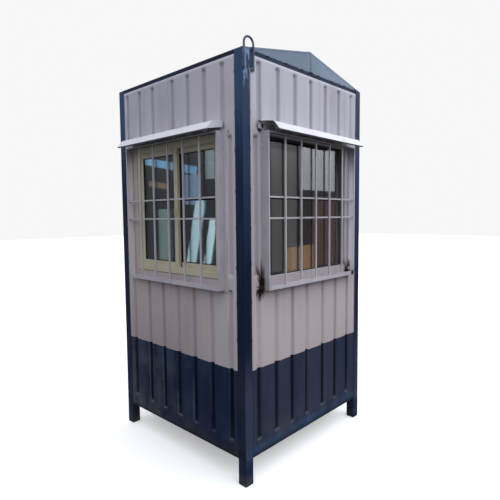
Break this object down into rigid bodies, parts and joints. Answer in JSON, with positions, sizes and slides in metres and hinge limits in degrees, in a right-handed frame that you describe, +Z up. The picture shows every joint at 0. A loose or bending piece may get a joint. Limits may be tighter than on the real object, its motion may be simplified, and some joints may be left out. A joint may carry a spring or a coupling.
{
  "type": "portable security guard booth",
  "caption": "Square sheet-steel guard cabin on short corner legs, with barred windows, folded rain shades, a low gabled roof and lifting loops.",
  "frame": {"origin": "centre of the footprint at ground level, between the four feet", "axes": "+Z up, -Y the front wall with the sliding window, +X the right wall, +Y the back wall with the door"},
  "size_m": [1.46, 1.46, 2.527],
  "materials": {
    "frame_paint": "gloss navy enamel, weathered",
    "wall_paint": "pale lilac-grey enamel over navy foot band, grimed",
    "grille_paint": "pale lilac-grey enamel",
    "roof_paint": "blue-grey enamel",
    "window_frame": "cream powder coat on aluminium",
    "clear_glass": "clear float glass",
    "tinted_glass": "grey tinted glass",
    "lining_board": "dark red-brown laminate",
    "floor_board": "worn plywood",
    "ceiling_board": "off-white board",
    "loop_steel": "dark bar with thin paint",
    "handle_steel": "satin"
  },
  "bodies": {
    "root": {"corner_post_front_left": "frame_paint", "corner_post_front_right": "frame_paint", "corner_post_back_left": "frame_paint", "corner_post_back_right": "frame_paint", "base_rails": "frame_paint", "floor_joists": "frame_paint", "floor_board": "floor_board", "top_rails": "frame_paint", "front_lower_sheet": "wall_paint", "front_upper_sheet": "wall_paint", "front_side_strips": "wall_paint", "right_lower_sheet": "wall_paint", "right_upper_sheet": "wall_paint", "right_side_strips": "wall_paint", "left_lower_sheet": "wall_paint", "left_upper_sheet": "wall_paint", "left_side_strips": "wall_paint", "back_side_sheets": "wall_paint", "back_top_sheet": "wall_paint", "door_frame": "frame_paint", "door_leaf": "wall_paint", "door_hinges": "frame_paint", "door_handle": "handle_steel", "front_lining": "lining_board", "right_lining": "lining_board", "left_lining": "lining_board", "back_lining": "lining_board", "ceiling_board": "ceiling_board", "front_window_frame": "window_frame", "front_left_sash": "window_frame", "front_right_sash": "window_frame", "front_window_glass": "clear_glass", "side_window_frames": "grille_paint", "side_window_glass": "tinted_glass", "front_grille": "grille_paint", "right_grille": "grille_paint", "left_grille": "grille_paint", "front_rain_shade": "grille_paint", "right_rain_shade": "grille_paint", "left_rain_shade": "grille_paint", "back_rain_shade": "grille_paint", "roof_sheet_front": "roof_paint", "roof_sheet_back": "roof_paint", "gable_plates": "roof_paint", "lifting_loops": "loop_steel"}
  },
  "joints": []
}
